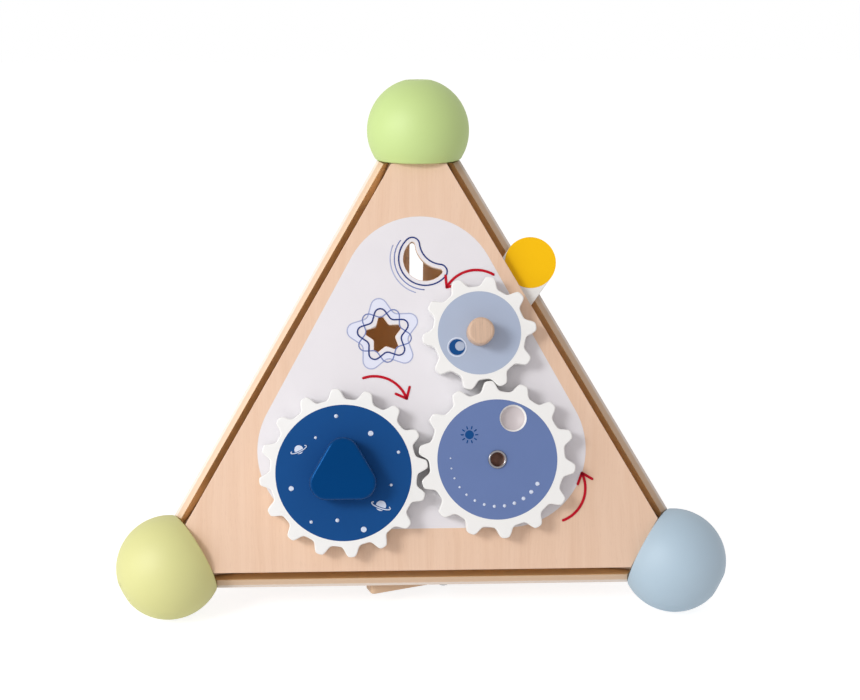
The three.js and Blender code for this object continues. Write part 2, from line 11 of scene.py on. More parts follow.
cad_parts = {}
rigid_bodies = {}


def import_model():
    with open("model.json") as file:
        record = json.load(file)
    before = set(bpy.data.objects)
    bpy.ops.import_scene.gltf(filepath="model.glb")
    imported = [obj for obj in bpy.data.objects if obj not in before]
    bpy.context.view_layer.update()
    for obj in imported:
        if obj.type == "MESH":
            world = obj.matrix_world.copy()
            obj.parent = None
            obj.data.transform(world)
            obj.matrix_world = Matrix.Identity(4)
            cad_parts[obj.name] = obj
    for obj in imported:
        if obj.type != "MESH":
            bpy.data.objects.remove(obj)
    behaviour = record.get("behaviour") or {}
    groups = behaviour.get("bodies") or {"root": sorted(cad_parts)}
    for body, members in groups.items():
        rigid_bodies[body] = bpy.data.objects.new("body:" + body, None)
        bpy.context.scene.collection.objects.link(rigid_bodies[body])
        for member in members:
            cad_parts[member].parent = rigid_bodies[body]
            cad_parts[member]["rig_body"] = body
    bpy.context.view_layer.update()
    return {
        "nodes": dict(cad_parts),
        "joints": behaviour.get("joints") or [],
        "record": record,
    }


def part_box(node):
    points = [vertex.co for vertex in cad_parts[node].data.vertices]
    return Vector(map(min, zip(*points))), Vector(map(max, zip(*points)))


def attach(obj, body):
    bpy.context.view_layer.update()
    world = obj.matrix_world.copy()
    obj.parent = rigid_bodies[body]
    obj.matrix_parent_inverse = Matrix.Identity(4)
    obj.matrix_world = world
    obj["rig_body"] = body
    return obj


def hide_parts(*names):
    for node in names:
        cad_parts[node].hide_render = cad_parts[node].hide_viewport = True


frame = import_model()
nodes = frame["nodes"]
joints = {joint["name"]: joint for joint in frame["joints"]}
slot_of = {part["node"]: part["material_slot"] for part in frame["record"]["subparts"]}

# Lengths are in millimetres, and this turns them into Blender's metres
MM = 0.001

# Distances within which corners are one, a point is on its axis, and unit vectors are one direction
JOIN_DISTANCE = 0.004
AXIS_DISTANCE = 0.02
DIRECTION_DISTANCE = 0.01

# Where an outline is redrawn, bends of more than so many degrees stay corners; flat faces bend by less
PLATE_SHARP = 40
TOOTH_SHARP = 75
TURNED_SHARP = 45
RIVET_SHARP = 80
BALL_SHARP = 17
FLAT_BEND = 1

# The most of a side that a rounded corner takes, and the least cosine that a mitre divides by
CORNER_SHARE = 0.45
MITRE_COSINE = 0.5

# Rounded edges and corners, and the steps they are drawn in
PANEL_EDGE = 0.3
PANEL_CORNER = 0.4
GEAR_EDGE = 0.7
ARM_EDGE = 0.5
KNOB_EDGE = 2.0
BUTTON_EDGE = 1.0
TURNED_EDGE = 0.3
SCREW_EDGE = 0.12
NYLON_EDGE = 0.15
BALL_EDGE = 0.7
BLOCK_EDGE = 0.5
PIN_EDGE = 0.1
EDGE_STEPS = 4
CORNER_STEPS = 3
STAR_STEPS = 8
SOFT_EDGE_STEPS = 2

# Dimple in the middle gear: depth, rounded rim, where a point on that lies, and steps down its side
DIMPLE_DEPTH = 5
DIMPLE_EDGE = 0.35
DIMPLE_EDGE_SHARE = 0.3
DIMPLE_STEPS = 14

# How far inside and below the rims of the dimple and of the rivet's bore their painted shade begins
DIMPLE_SHADE_INSET = 0.45
DIMPLE_SHADE_DROP = 0.4
BORE_MARGIN = 0.05
BORE_LIP = 0.5

# Turned pieces: facets round them, and the bend in degrees at which their line is divided
TURNED_FACETS = 72
TURNED_STEP = 6
BALL_FACETS = 128
BALL_STEP = 3
BALL_SCREW_FACETS = 32

# Panels, and the holes for the hatch's pins: how much wider and, as a share, how much longer than a pin
PANEL_THICKNESS = 5
PIN_CLEARANCE = 0.3
PIN_REACH_SHARE = 1.05

# Windows in the gear panel, for the prints round them
STAR_POINTS = 5
STAR_STEP = 180 / STAR_POINTS
STAR_TIP_RADIUS = 13
STAR_TIP_ROUND = 2.2
STAR_VALLEY_RADIUS = 6.35
STAR_VALLEY_ROUND = 2.6
STAR_TURN = 99.4
MOON_RADIUS = 12.65
MOON_BITE_RADIUS = 16.1
MOON_BITE_REACH = 14.2
MOON_TIP_RADIUS = 1.5
MOON_TURN = 45

# Prints on the panel and on the gears
INK = 0.05
FIELD_TOP = 115.9
FIELD_BOTTOM = -63.4
FIELD_CORNER_RADIUS = 45
FIELD_CORNER_ASIDE = 49
BIG_DISC_RADIUS = 38.3
MIDDLE_DISC_RADIUS = 33.9
SMALL_DISC_RADIUS = 23.6
YELLOW_RADIUS = 14.95
PEG_HOLE_RADIUS = 6
RIVET_PRINT_RADIUS = 5.05
RIVET_BORE_RADIUS = 4
WINDOW_MARGIN = 0.25
DIMPLE_MARGIN = 0.1
ARM_END = (52.9, 53.4)
ARROW_WIDTH = 1.5
ARROW_HEAD = 6.8
ARROW_BARB_TURN = 40
ARROW_RADIUS = 19.8
LINE_WIDTH = 0.8
THIN_LINE = 0.65
DISC_STEPS = 120

# How far the lines lie outside the windows, and how much of that growth rounds a star's tips and valleys
STAR_GROWTH = 2.9
TURNED_STAR_GROWTH = 3.2
HALO_GROWTH = 6.2
MOON_GROWTH = 2.7
TIP_ROUNDING = 0.4
VALLEY_ROUNDING = 0.25

# Ripples beside the moon: how far outside it, half their angle, and ink
RIPPLE_TURN = 205
RIPPLES = {"moon_ripple_1": (5.2, 62, "middle_line"), "moon_ripple_2": (7.6, 48, "pale_line")}

# Red arrows: where the middle of each arc lies, where it starts and where its head is
ARROWS = {
    "small_gear_arrow": ((32.3, 64.8), 60, 150),
    "big_gear_arrow": ((-27.1, 4.1), 108, 20),
    "middle_gear_arrow": ((73.6, -41.2), -70, 25),
}

# Dots and ringed planets: angle, reach as a share of the disc, radius, and the turn of a planet's ring
DOTS = [(20, 0.86, 0.9), (55, 0.7, 1.5), (97, 0.84, 1.1), (128, 0.66, 0.8), (196, 0.8, 1.4)]
DOTS += [(236, 0.86, 0.9), (262, 0.7, 1.1), (289, 0.88, 1.6), (345, 0.72, 0.8)]
PLANETS = [(152, 0.74, 2.5, 25), (318, 0.73, 2.9, -20)]

# A planet's ring and the gap under it, in shares of the planet's radius, and the angles where they end
RING_LENGTH = 1.9
RING_BREADTH = 0.5
RING_WIDTH = 0.22
RING_ENDS = (150, 390)
GAP_WIDTH = 0.5
GAP_ENDS = (180, 360)

# Trail and sun on the middle disc, and the moon on the small one; a place is a reach and an angle
TRAIL_DOTS = 13
TRAIL_REACH = 0.78 * MIDDLE_DISC_RADIUS
TRAIL_START = 178
TRAIL_TURN = 150
TRAIL_RADIUS = 0.45
TRAIL_GROWTH = 0.75
SUN_PLACE = (0.62 * MIDDLE_DISC_RADIUS, 138)
SUN_RADIUS = 2.5
SUN_RAYS = 10
SUN_RAY = (3.5, 4.7)
SUN_RAY_WIDTH = 0.7
SMALL_MOON_PLACE = (0.64 * SMALL_DISC_RADIUS, 212)
SMALL_MOON_RADIUS = 4.5
WHITE_RING_RADII = (5.6, 4.9)
MOON_SHADE_PLACE = (1.7, 20)
MOON_SHADE_RADIUS = 2.7

# Camera, fitted to the outlines: its turn in degrees from square on to the gear panel, and its place on
# that panel's own axes
CAMERA_TURN = (-2.164, 1.690, 0.667)
CAMERA_PLACE = (-16.247, -16.424, 747.824)
CAMERA_LENS = 54.65
CAMERA_SENSOR = 36
CAMERA_SHIFT = (-0.0019, 0.0543)

# Light, as shares of the level at which a colour renders as it is written
SKY_LEVEL = 0.53
SKY_TINT = (1.04, 0.98, 0.98)
FLOOR_SHADE = 0.4
FLOOR_LIFT = 0.84
FLOOR_BOUNCE = 0.93

# How far the floor lies below the object; in metres, how far it reaches and how far off the lamps are
FLOOR_DROP = 0.2
FLOOR_REACH = 6
LAMP_DISTANCE = 1.5

# Lamps: azimuth and elevation in degrees, level, and size in metres
LAMPS = {"key": (-42, 29, 0.38, 0.45), "side": (-64, 16, 0.22, 1.1)}

# Colours as they are seen, 0 to 255
MAPLE = (236, 204, 178)
MAPLE_DARK = (221, 182, 151)
# Inner faces: unfinished wood, warmer and more saturated, partly painted warm shade for the gaps between
# panels
INNER_WOOD_AND_SHADE = (255, 213, 153)
OUTER_PLY = (230, 219, 208)
CORE_PLY = (220, 192, 164)
INNER_PLY = (226, 198, 168)
PEG_WOOD = (210, 180, 156)
BUTTON_WOOD = (230, 199, 167)
WHITE_PAINT = (240, 241, 239)
# The dimple's white is darker: painted shade in the bowl
DIMPLE_PAINTED_SHADE = (205, 197, 198)
NAVY = (1, 54, 107)
STEEL = (196, 198, 200)
RIVET_STEEL = (140, 138, 142)
# Inside the rivet's bore: painted shade, a dull brown in place of steel
RIVET_BORE_SHADE = (172, 144, 132)
NYLON = (232, 230, 223)
NAVY_GLOSS = (70, 160, 255)
BALLS = {"top": (192, 217, 136), "left": (215, 215, 143), "right": (174, 198, 214), "back": (234, 184, 140)}

# Inks: colour, how far it varies in shade, and material slot
INKS = {
    "print_field": ((229, 227, 231), 0.012, "white_paint"),
    "big_disc_blue": ((20, 75, 136), 0.03, "blue_print"),
    "middle_disc_blue": ((105, 126, 174), 0.02, "blue_print"),
    "small_disc_blue": ((173, 186, 208), 0.02, "blue_print"),
    "yellow_paint": ((255, 198, 18), 0.02, "yellow_paint"),
    "red_print": ((190, 22, 42), 0.02, "red_print"),
    "line_blue": ((36, 56, 122), 0.02, "blue_print"),
    "middle_line": ((118, 132, 184), 0.02, "blue_print"),
    "pale_line": ((170, 178, 210), 0.02, "blue_print"),
    "halo_blue": ((224, 228, 244), 0.02, "white_paint"),
    "dot_white": ((214, 224, 242), 0.02, "white_paint"),
}

# Finishes: roughness and specular level; an ink's sheen is too weak to pale its colour
WOOD_FINISH = (0.42, 0.35)
PEG_FINISH = (0.5, 0.3)
WHITE_FINISH = (0.42, 0.4)
FIELD_FINISH = (0.5, 0.4)
INK_FINISH = (0.5, 0.08)
NAVY_FINISH = (0.22, 0.5)
BALL_FINISH = (0.58, 1.0)
NYLON_FINISH = (0.5, 0.45)
STEEL_ROUGHNESS = 0.3
RIVET_ROUGHNESS = 0.2
RIVET_SPECULAR = 0.05
BORE_ROUGHNESS = 0.8

# How far a coat of paint varies in shade
WHITE_MOTTLE = 0.02
BALL_MOTTLE = 0.012
NAVY_MOTTLE = 0.04

# Noises in wood: how far their features reach across, along and into it, offset, detail and roughness
GRAIN_WAVES = ((38, 90, 38), 0, 2, 0.5)
GRAIN_BANDS = ((5.5, 190, 5.5), 0, 4, 0.62)
GRAIN_LINES = ((0.9, 34, 0.9), 7, 3, 0.6)
GRAIN_FLECKS = ((0.55, 5, 0.55), 3, 2, 0.5)
GRAIN_CLOUDS = ((30, 55, 30), 5, 2, 0.5)
PLY_FIBRES = ((3, 3, 0.6), 0, 3, 0.6)
PEG_RAYS = ((0.7, 14, 30), 0, 3, 0.6)
PEG_PORES = ((0.5, 1.6, 9), 4, 2, 0.5)

# Grain: its sway, shares of its noises, the noise levels of its tones and its specks, the strength of
# specks, and its relief as a depth and a strength
GRAIN_SWAY = 14
BAND_SHARE = 0.62
STREAK_SHARE = 0.5
CLOUD_SHARE = 0.3
DARK_LEVEL = 0.36
LIGHT_LEVEL = 0.6
SPECK_LEVEL = 0.6
FLECK_STRENGTH = 1.6
PORE_STRENGTH = 2
GRAIN_RELIEF = (0.05, 0.4)
PEG_RELIEF = (0.05, 0.3)

# Shades, as shares of a piece's own colour; those of the end grain's rays with their noise levels
CLOUD_SHADE = 0.95
FLECK_SHADE = 0.9
PORE_SHADE = 0.8
BUTTON_GRAIN_SHADE = 0.88
BLOCK_GRAIN_SHADE = 0.85
METAL_SHADE = 0.9
NYLON_SHADE = 0.97
RAY_TONES = ((0.35, 0.95), (0.65, 1.02))

# Plywood's edges: how uneven the layers are, where these end as shares of the thickness, and the facing
# under which a surface is an edge
PLY_UNEVENNESS = 0.15
PLY_STOPS = (0.28, 0.38, 0.66, 0.76)
EDGE_FACING = 0.6

# Paint, metal and nylon: lengths of clouds and of fine texture, and its depth and strength
PAINT_CLOUDS = 22
NYLON_CLOUDS = 5
PAINT_TEXTURE = 1.1
PAINT_RELIEF = (0.02, 0.35)
METAL_TEXTURE = 1.2
METAL_RELIEF = (0.01, 0.3)

# The Mix node's colour sockets
MIX_FIRST = 6
MIX_SECOND = 7
MIX_RESULT = 2


# Colour and shader helpers
def linear(rgb, factor=1):
    """A colour as it is seen, or a shade of it, in Blender's linear values."""
    channels = []
    for value in shade(rgb, factor):
        c = value / 255
        channels.append(c / 12.92 if c <= 0.04045 else ((c + 0.055) / 1.055) ** 2.4)
    return (*channels, 1)


def shade(rgb, factor):
    return tuple(min(255, channel * factor) for channel in rgb)


def add_node(tree, kind, inputs=None, **settings):
    """A new node; each of its inputs is a value, or the socket of another node."""
    node = tree.nodes.new(kind)
    for key, value in settings.items():
        setattr(node, key, value)
    for key, value in (inputs or {}).items():
        fill(tree, node.inputs[key], value)
    return node


def fill(tree, socket, value):
    if isinstance(value, bpy.types.NodeSocket):
        tree.links.new(value, socket)
    else:
        socket.default_value = value


class Shader:
    """A material with a Principled shader, built node by node."""

    def __init__(self, name, roughness, specular=0.5, metallic=0.0, tint=(255, 255, 255)):
        self.material = bpy.data.materials.new(name)
        self.material.use_nodes = True
        self.tree = self.material.node_tree
        self.tree.nodes.clear()
        out = self.add("ShaderNodeOutputMaterial")
        inputs = {"Roughness": roughness, "Specular IOR Level": specular, "Metallic": metallic}
        inputs["Specular Tint"] = linear(tint)
        self.principled = self.add("ShaderNodeBsdfPrincipled", inputs)
        self.tree.links.new(self.principled.outputs["BSDF"], out.inputs["Surface"])
        coordinates = self.add("ShaderNodeTexCoord")
        self.place = coordinates.outputs["Object"]
        self.normal = coordinates.outputs["Normal"]

    def add(self, kind, inputs=None, **settings):
        return add_node(self.tree, kind, inputs, **settings)

    def principled_input(self, name, source):
        fill(self.tree, self.principled.inputs[name], source)

    def math(self, operation, *values):
        return self.add("ShaderNodeMath", dict(enumerate(values)), operation=operation).outputs[0]

    def along(self, source, axis):
        """How far a vector reaches along an axis."""
        node = self.add("ShaderNodeVectorMath", {0: source, 1: axis}, operation="DOT_PRODUCT")
        return node.outputs["Value"]

    def measures(self, face):
        """The place in a face's own millimetres from its middle: right, up and out."""
        found = []
        for axis in face.turn:
            found.append(self.math("SUBTRACT", self.along(self.place, axis / MM), axis.dot(face.middle) / MM))
        return found

    def within(self, place, radius, top):
        """1 round the middle of the place, out to that radius and up to that level."""
        squares = [self.math("MULTIPLY", value, value) for value in place[:2]]
        reach = self.math("SQRT", self.math("ADD", *squares))
        near = self.math("LESS_THAN", reach, radius)
        return self.math("MULTIPLY", near, self.math("LESS_THAN", place[2], top))

    def grain(self, measures, lengths, offset, detail, roughness):
        """Noise with a length along each measure; the offset takes it to another place in the noise."""
        scaled = [self.math("DIVIDE", value, length) for value, length in zip(measures, lengths)]
        scaled[0] = self.math("ADD", scaled[0], offset)
        vector = self.add("ShaderNodeCombineXYZ", dict(enumerate(scaled))).outputs[0]
        return self.noise(vector, detail, roughness)

    def noise(self, vector, detail, roughness=0.5):
        inputs = {"Vector": vector, "Scale": 1.0, "Detail": detail, "Roughness": roughness}
        return self.add("ShaderNodeTexNoise", inputs).outputs[0]

    def grown(self, length, detail):
        """Even noise whose features have that length, in millimetres."""
        inputs = {0: self.place, "Scale": 1 / (length * MM)}
        scaled = self.add("ShaderNodeVectorMath", inputs, operation="SCALE")
        return self.noise(scaled.outputs[0], detail)

    def ramp(self, factor, stops):
        node = self.add("ShaderNodeValToRGB", {"Fac": factor})
        elements = node.color_ramp.elements
        while len(elements) < len(stops):
            elements.new(0.5)
        for element, (position, color) in zip(elements, stops):
            element.position = position
            element.color = color
        return node.outputs[0]

    def mix(self, factor, a, b):
        inputs = {0: factor, MIX_FIRST: a, MIX_SECOND: b}
        return self.add("ShaderNodeMix", inputs, data_type="RGBA").outputs[MIX_RESULT]

    def specked(self, look, noise, strength, rgb):
        """The look with specks of another colour where the noise is high."""
        specks = self.math("MULTIPLY", self.math("SUBTRACT", noise, SPECK_LEVEL), strength)
        return self.mix(self.math("MAXIMUM", specks, 0), look, linear(rgb))

    def color(self, source):
        self.principled_input("Base Color", source)

    def bump(self, height, distance, strength):
        node = self.add("ShaderNodeBump", {"Height": height, "Distance": distance * MM, "Strength": strength})
        self.principled_input("Normal", node.outputs[0])


# A face's own measures
class Face:
    """Millimetres on a face: right and up from its middle, and out along its normal."""

    def __init__(self, out, up, middle=(0, 0, 0)):
        z = Vector(out).normalized()
        y = (Vector(up) - z * Vector(up).dot(z)).normalized()
        self.turn = Matrix((y.cross(z), y, z))
        self.middle = Vector(middle)

    def place(self, right, up, out=0.0):
        return self.middle + self.turn.transposed() @ Vector((right, up, out)) * MM

    def read(self, point):
        return self.turn @ (Vector(point) - self.middle) / MM

    def moved(self, middle):
        return Face(self.turn[2], self.turn[1], middle)


# Reading the outlines of the frame's solids
def length_of(line):
    return sum((a - b).length for a, b in zip(line, line[1:]))


def average(points):
    return sum(points[1:], points[0]) / len(points)


def joined_mesh(node):
    mesh = bmesh.new()
    mesh.from_mesh(nodes[node].data)
    bmesh.ops.remove_doubles(mesh, verts=mesh.verts, dist=JOIN_DISTANCE * MM)
    return mesh


def corners_of(node, face):
    mesh = joined_mesh(node)
    return [face.read(vertex.co) for vertex in mesh.verts]


def levels(node, face):
    """The node's lowest and highest level on a face."""
    found = [corner.z for corner in corners_of(node, face)]
    return min(found), max(found)


def rims(node, face):
    """The closed edges of the node's flat top: the outline first, then the holes, material on the left."""
    mesh = joined_mesh(node)
    heights = {vertex: face.read(vertex.co).z for vertex in mesh.verts}
    top = max(heights.values())
    flat = {part for part in mesh.faces if all(top - heights[v] < JOIN_DISTANCE for v in part.verts)}
    onward = {}
    for part in flat:
        for corner in part.loops:
            if not all(other in flat for other in corner.edge.link_faces):
                onward[corner.vert] = corner.link_loop_next.vert
    loops = []
    while onward:
        start, current = onward.popitem()
        loop = [start]
        while current is not start:
            loop.append(current)
            current = onward.pop(current)
        loops.append([face.read(vertex.co).xy for vertex in loop])
    loops.sort(key=length_of, reverse=True)
    return loops


def meridian(node, spin):
    """The line that a node was turned from, in radius and level, and whether it closes on itself."""
    mesh = joined_mesh(node)
    places = {vertex: spin.read(vertex.co) for vertex in mesh.verts}
    widest = max(mesh.verts, key=lambda vertex: places[vertex].xy.length)
    direction = places[widest].xy.normalized()

    def on_line(vertex):
        flat = places[vertex].xy
        return flat.length < AXIS_DISTANCE or (flat.normalized() - direction).length < DIRECTION_DISTANCE

    line = [vertex for vertex in mesh.verts if on_line(vertex)]
    ends = [vertex for vertex in line if places[vertex].xy.length < AXIS_DISTANCE]
    order = [min(ends or line, key=lambda vertex: places[vertex].z)]
    while True:
        near = [edge.other_vert(order[-1]) for edge in order[-1].link_edges]
        onward = [vertex for vertex in near if on_line(vertex) and vertex not in order]
        if not onward:
            break
        order.append(onward[0])
    profile = [Vector((places[vertex].xy.length, places[vertex].z)) for vertex in order]
    for end in ends:
        profile[order.index(end)].x = 0
    return profile, not ends


# Redrawing outlines finely
def eased(points, closed, sharp, radius):
    """The line with each corner sharper than that many degrees rounded off."""
    line = []
    count = len(points)
    for i, corner in enumerate(points):
        before = corner - points[i - 1]
        after = points[(i + 1) % count] - corner
        at_end = not closed and i in (0, count - 1)
        if at_end or not radius or math.degrees(before.angle(after)) < sharp:
            line.append(corner)
            continue
        room = min(before.length, after.length) * CORNER_SHARE
        reach = min(radius * math.tan(before.angle(after) / 2), room)
        start = corner - before.normalized() * reach
        end = corner + after.normalized() * reach
        for k in range(CORNER_STEPS + 1):
            t = k / CORNER_STEPS
            line.append(start * (1 - t) ** 2 + corner * (2 * t * (1 - t)) + end * t**2)
    return line


def heading(points, closed, i, span, sharp):
    """The direction in which the smooth line passes a point, on the side of the given span."""
    count = len(points)
    if closed or 0 < i < count - 1:
        last = points[i] - points[i - 1]
        following = points[(i + 1) % count] - points[i]
        if math.degrees(last.angle(following)) < sharp:
            return (last + following).normalized()
    return span.normalized()


def smoothed(points, closed, sharp, step):
    """A smooth line through the points that keeps their sharp corners; step is its bend in degrees."""
    line = []
    count = len(points)
    for i in range(count if closed else count - 1):
        j = (i + 1) % count
        span = points[j] - points[i]
        leave = heading(points, closed, i, span, sharp)
        arrive = heading(points, closed, j, span, sharp)
        bend = math.degrees(leave.angle(span) + arrive.angle(span))
        pieces = max(1, math.ceil(bend / step))
        for k in range(pieces):
            t = k / pieces
            place = points[i] * (2 * t**3 - 3 * t**2 + 1) + points[j] * (3 * t**2 - 2 * t**3)
            pull = leave * (t**3 - 2 * t**2 + t) + arrive * (t**3 - t**2)
            line.append(place + pull * span.length)
    if not closed:
        line.append(points[-1])
    return line


def refined(points, closed=True, sharp=PLATE_SHARP, corner=0.0, step=5):
    return smoothed(eased(points, closed, sharp, corner), closed, sharp, step)


# Flat outlines
def polar(centre, reach, degrees):
    angle = math.radians(degrees)
    return Vector((centre[0] + reach * math.cos(angle), centre[1] + reach * math.sin(angle)))


def arc(centre, radius, start, end, steps):
    return [polar(centre, radius, start + (end - start) * i / steps) for i in range(steps + 1)]


def circle(centre, radius, steps=48):
    return arc(centre, radius, 0, 360, steps)[:-1]


def round_triangle(corners, radius):
    """Three corner circles joined by straight sides; the corners point up, down left and down right."""
    outline = []
    for centre, tip in zip(corners, (90, 210, 330)):
        outline += arc(centre, radius, tip - 60, tip + 60, steps=24)
    return outline


def star_outline(centre, grow, turn=STAR_TURN):
    """The star window's outline, its sides moved outward by grow and its corners rounded more with it."""
    tip = STAR_TIP_RADIUS
    valley = STAR_VALLEY_RADIUS
    step = math.radians(STAR_STEP)
    side = math.sqrt(tip**2 + valley**2 - 2 * tip * valley * math.cos(step))
    side_reach = tip * valley * math.sin(step) / side
    scale = 1 + grow / side_reach
    tip_round = STAR_TIP_ROUND + grow * TIP_ROUNDING
    valley_round = STAR_VALLEY_ROUND + grow * VALLEY_ROUNDING
    count = 2 * STAR_POINTS
    corners = []
    for i in range(count):
        corners.append(polar(centre, (valley if i % 2 else tip) * scale, turn + STAR_STEP * i))
    outline = []
    for i, corner in enumerate(corners):
        before = (corner - corners[i - 1]).normalized()
        after = (corners[(i + 1) % count] - corner).normalized()
        bend = before.angle(after)
        radius = valley_round if i % 2 else tip_round
        reach = radius * math.tan(bend / 2)
        middle = corner + (after - before).normalized() * (radius / math.cos(bend / 2))
        start = corner - before * reach - middle
        sweep = -bend if i % 2 else bend
        for k in range(STAR_STEPS + 1):
            outline.append(middle + Matrix.Rotation(sweep * k / STAR_STEPS, 2) @ start)
    return outline


def moon_outline(centre, grow):
    """The moon window's outline, moved outward by grow."""
    radius = MOON_RADIUS + grow
    tip = MOON_TIP_RADIUS + grow
    bite = MOON_BITE_RADIUS - grow
    reach = radius - tip
    far = bite + tip
    spread = math.degrees(math.acos((MOON_BITE_REACH**2 + reach**2 - far**2) / (2 * MOON_BITE_REACH * reach)))
    lean = math.degrees(math.acos((MOON_BITE_REACH**2 + far**2 - reach**2) / (2 * MOON_BITE_REACH * far)))
    bite_centre = polar(centre, MOON_BITE_REACH, MOON_TURN)
    low = polar(centre, reach, MOON_TURN - spread)
    high = polar(centre, reach, MOON_TURN + spread)
    outline = arc(centre, radius, MOON_TURN + spread, MOON_TURN - spread + 360, steps=48)
    outline += arc(low, tip, MOON_TURN - spread, MOON_TURN + lean, steps=12)[1:]
    outline += arc(bite_centre, bite, MOON_TURN + 180 + lean, MOON_TURN + 180 - lean, steps=28)[1:]
    outline += arc(high, tip, MOON_TURN - lean, MOON_TURN + spread, steps=12)[1:-1]
    return outline


def ribbon(points, width):
    """The outline of an open line of that width with round ends."""
    half = width / 2
    left = []
    right = []
    for i, point in enumerate(points):
        ahead = points[min(i + 1, len(points) - 1)] - points[max(i - 1, 0)]
        side = Vector((-ahead.y, ahead.x)).normalized() * half
        left.append(point + side)
        right.append(point - side)

    def cap(centre, start):
        angle = math.degrees(math.atan2(start.y - centre.y, start.x - centre.x))
        return arc(centre, half, angle, angle - 180, steps=8)[1:-1]

    return left + cap(points[-1], left[-1]) + right[::-1] + cap(points[0], right[0])


def ellipse(centre, size, turn, start, end, steps):
    """Part of an ellipse with those two half axes, turned by that many degrees."""
    shaped = Matrix.Rotation(math.radians(turn), 2) @ Matrix.Diagonal(size)
    return [centre + shaped @ point for point in arc((0, 0), 1, start, end, steps)]


def arrow(centre, radius, start, end):
    """A curved line with an open two-stroke head at its end."""
    line = arc(centre, radius, start, end, steps=24)
    tip = line[-1]
    back = (line[-4] - tip).normalized()
    strokes = [ribbon(line, ARROW_WIDTH)]
    for turn in (-ARROW_BARB_TURN, ARROW_BARB_TURN):
        barb = tip + (Matrix.Rotation(math.radians(turn), 2) @ back) * ARROW_HEAD
        strokes.append(ribbon([tip, barb], ARROW_WIDTH))
    return strokes


# Meshes
class Mesh:
    """Points in a face's own millimetres, and faces with whether they look flat; made into a piece."""

    def __init__(self):
        self.points = []
        self.faces = []

    def ring(self, line, level):
        start = len(self.points)
        self.points += [(point.x, point.y, level) for point in line]
        return list(range(start, start + len(line)))

    def bridge(self, lower, upper):
        for i in range(len(lower)):
            j = (i + 1) % len(lower)
            self.faces.append(((lower[i], lower[j], upper[j], upper[i]), False))

    def fan(self, ring, tip):
        for i in range(len(ring)):
            self.faces.append(((ring[i], ring[(i + 1) % len(ring)], tip), False))

    def cap(self, rings):
        """Fills the area between the first ring and the others."""
        corners = [index for ring in rings for index in ring]
        outlines = [[Vector(self.points[index]) for index in ring] for ring in rings]
        for triangle in tessellate_polygon(outlines):
            self.faces.append(([corners[index] for index in triangle], True))

    def piece(self, name, face, material, body, slot):
        work = bmesh.new()
        corners = [work.verts.new(face.place(*point)) for point in self.points]
        for indices, flat in self.faces:
            made = work.faces.new([corners[index] for index in indices])
            made.smooth = not flat
        bmesh.ops.recalc_face_normals(work, faces=work.faces)
        mesh = bpy.data.meshes.new(name)
        work.to_mesh(mesh)
        work.free()
        mesh.materials.append(material)
        made = bpy.data.objects.new(name, mesh)
        bpy.context.scene.collection.objects.link(made)
        made.modifiers.new("even_shading", "WEIGHTED_NORMAL")
        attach(made, body)
        return made


def inset(line, distance):
    """A closed line moved to its left, which is where the material is."""
    moved = []
    count = len(line)
    for i, point in enumerate(line):
        before = (point - line[i - 1]).normalized()
        after = (line[(i + 1) % count] - point).normalized()
        side = before + after
        left = Vector((-side.y, side.x)).normalized()
        moved.append(point + left * distance / max(MITRE_COSINE, math.cos(before.angle(after) / 2)))
    return moved


def rounding(radius):
    """Insets and drops of a rounded rim, from the flat face to the side."""
    if not radius:
        return [(0, 0)]
    turns = [math.radians(90 * i / EDGE_STEPS) for i in range(EDGE_STEPS + 1)]
    return [(radius * (1 - math.sin(turn)), radius * (1 - math.cos(turn))) for turn in turns]


def plate(mesh, loops, bottom, top, top_edge=0, bottom_edge=0):
    """Adds a plate with rounded rims, without its top; returns the rings at which the flat top ends."""
    rows = [(side, bottom + drop) for side, drop in rounding(bottom_edge)]
    rows += [(side, top - drop) for side, drop in reversed(rounding(top_edge))]
    lower = []
    upper = []
    for loop in loops:
        rings = [mesh.ring(inset(loop, side) if side else loop, level) for side, level in rows]
        for ring, following in zip(rings, rings[1:]):
            mesh.bridge(ring, following)
        lower.append(rings[0])
        upper.append(rings[-1])
    mesh.cap(lower)
    return upper


def replace(node, mesh, face, material):
    """Makes the mesh into the piece that stands for the node."""
    piece = mesh.piece("fine_" + node, face, material, nodes[node]["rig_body"], slot_of[node])
    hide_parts(node)
    return piece


def fine_slab(
    node, face, material, edge=PANEL_EDGE, top_edge=None, sharp=PLATE_SHARP, corner=0, outline=None, bowl=0
):
    """A finer copy of a flat node. With a bowl's depth, its widest hole is a round bowl."""
    bottom, top = levels(node, face)
    loops = [outline] if outline else [refined(loop, True, sharp, corner) for loop in rims(node, face)]
    bowls = [max(loops[1:], key=length_of)] if bowl else []
    holes = [loop for loop in loops[1:] if loop not in bowls]
    mesh = Mesh()
    upper = plate(mesh, [loops[0], *holes], bottom, top, top_edge or edge, edge)
    for rim in bowls:
        upper.append(sink(mesh, rim, top, bowl))
    mesh.cap(upper)
    return replace(node, mesh, face, material)


def sink(mesh, rim, top, depth):
    """A steep round bowl below a rim in the flat top; returns the ring at which the flat part ends."""
    centre = average(rim)
    edge = DIMPLE_EDGE
    part = edge * DIMPLE_EDGE_SHARE
    rows = [(inset(rim, edge), top), (inset(rim, part), top - part)]
    for i in range(1, DIMPLE_STEPS):
        turn = math.radians(90 * i / DIMPLE_STEPS)
        line = [centre + (point - centre) * math.cos(turn) for point in rim]
        rows.append((line, top - edge - (depth - edge) * math.sin(turn)))
    rings = [mesh.ring(line, level) for line, level in rows]
    for ring, following in zip(rings, rings[1:]):
        mesh.bridge(ring, following)
    mesh.fan(rings[-1], mesh.ring([centre], top - depth)[0])
    return rings[0]


